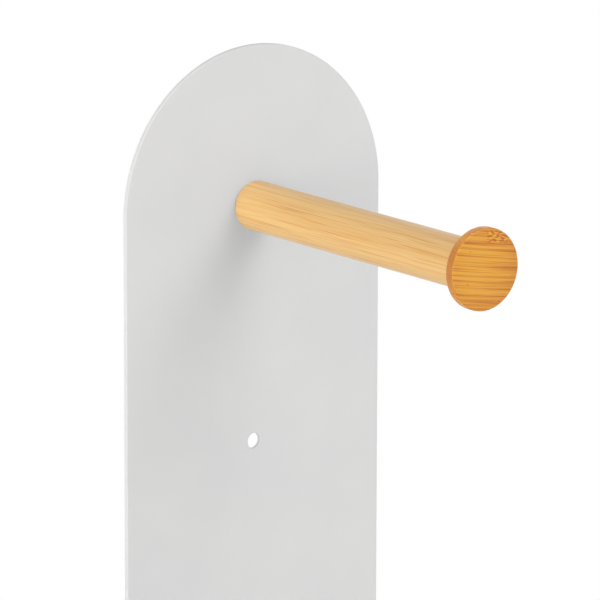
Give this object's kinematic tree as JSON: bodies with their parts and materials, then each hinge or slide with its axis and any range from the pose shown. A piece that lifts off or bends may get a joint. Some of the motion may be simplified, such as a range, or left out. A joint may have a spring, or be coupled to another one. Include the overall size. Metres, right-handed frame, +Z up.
{
  "type": "freestanding toilet roll holder",
  "caption": "Round-topped white steel upright on a low steel base, with a bamboo arm and end disc that hold a toilet roll clear of the floor.",
  "frame": {"origin": "on the floor, at the middle of the base's footprint", "axes": "+Z up; +X to the right of a person facing the holder; the arm points along -Y, and the upright stands towards +Y"},
  "size_m": [0.18, 0.21, 0.5999],
  "materials": {
    "white_powder_coat": "fine satin powder coat, warm white, over 2 mm sheet steel",
    "bamboo_rod": "laminated bamboo, straight grain along the rod, clear satin lacquer",
    "bamboo_disc": "laminated bamboo, darker strips across the disc, clear satin lacquer",
    "plain_wood": "unfinished hardwood",
    "zinc_plated_steel": "bright zinc plate",
    "foot_rubber": "matte light grey rubber"
  },
  "bodies": {
    "root": {"upright_plate": "white_powder_coat", "base_plate": "white_powder_coat", "roll_arm": "bamboo_rod", "arm_end_disc": "bamboo_disc", "disc_pin": "plain_wood", "arm_thread_insert": "zinc_plated_steel", "arm_screw": "zinc_plated_steel", "arm_flat_washer": "zinc_plated_steel", "arm_lock_washer": "zinc_plated_steel", "base_screw_left": "zinc_plated_steel", "base_screw_centre": "zinc_plated_steel", "base_screw_right": "zinc_plated_steel", "flange_nut_left": "zinc_plated_steel", "flange_nut_centre": "zinc_plated_steel", "flange_nut_right": "zinc_plated_steel", "foot_pad_front_left": "foot_rubber", "foot_pad_front_right": "foot_rubber", "foot_pad_rear_left": "foot_rubber", "foot_pad_rear_right": "foot_rubber"}
  },
  "joints": []
}
